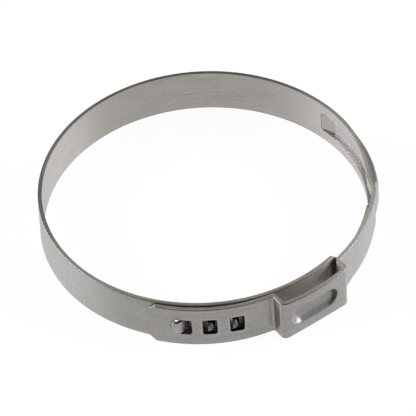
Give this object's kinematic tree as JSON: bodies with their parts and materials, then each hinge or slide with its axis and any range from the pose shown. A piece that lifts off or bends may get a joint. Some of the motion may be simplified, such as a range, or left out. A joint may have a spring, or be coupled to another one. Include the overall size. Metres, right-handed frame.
{
  "type": "ear hose clamp",
  "caption": "Stainless strip clamp with a raised ear, overlapping ends held by hooks in windows, and a tongue in a pressed channel, for squeezing a hose onto a spigot.",
  "frame": {"origin": "on the axis of the round bore, at the middle of the strip's width", "axes": "+Z along the bore axis, -Y from the axis through the middle of the ear, +X towards the pressed channel"},
  "size_m": [0.0489, 0.0511, 0.007],
  "materials": {
    "band_steel": "cold-rolled stainless strip, satin with faint rolling lines"
  },
  "bodies": {
    "root": {"clamp_band": "band_steel"}
  },
  "joints": []
}
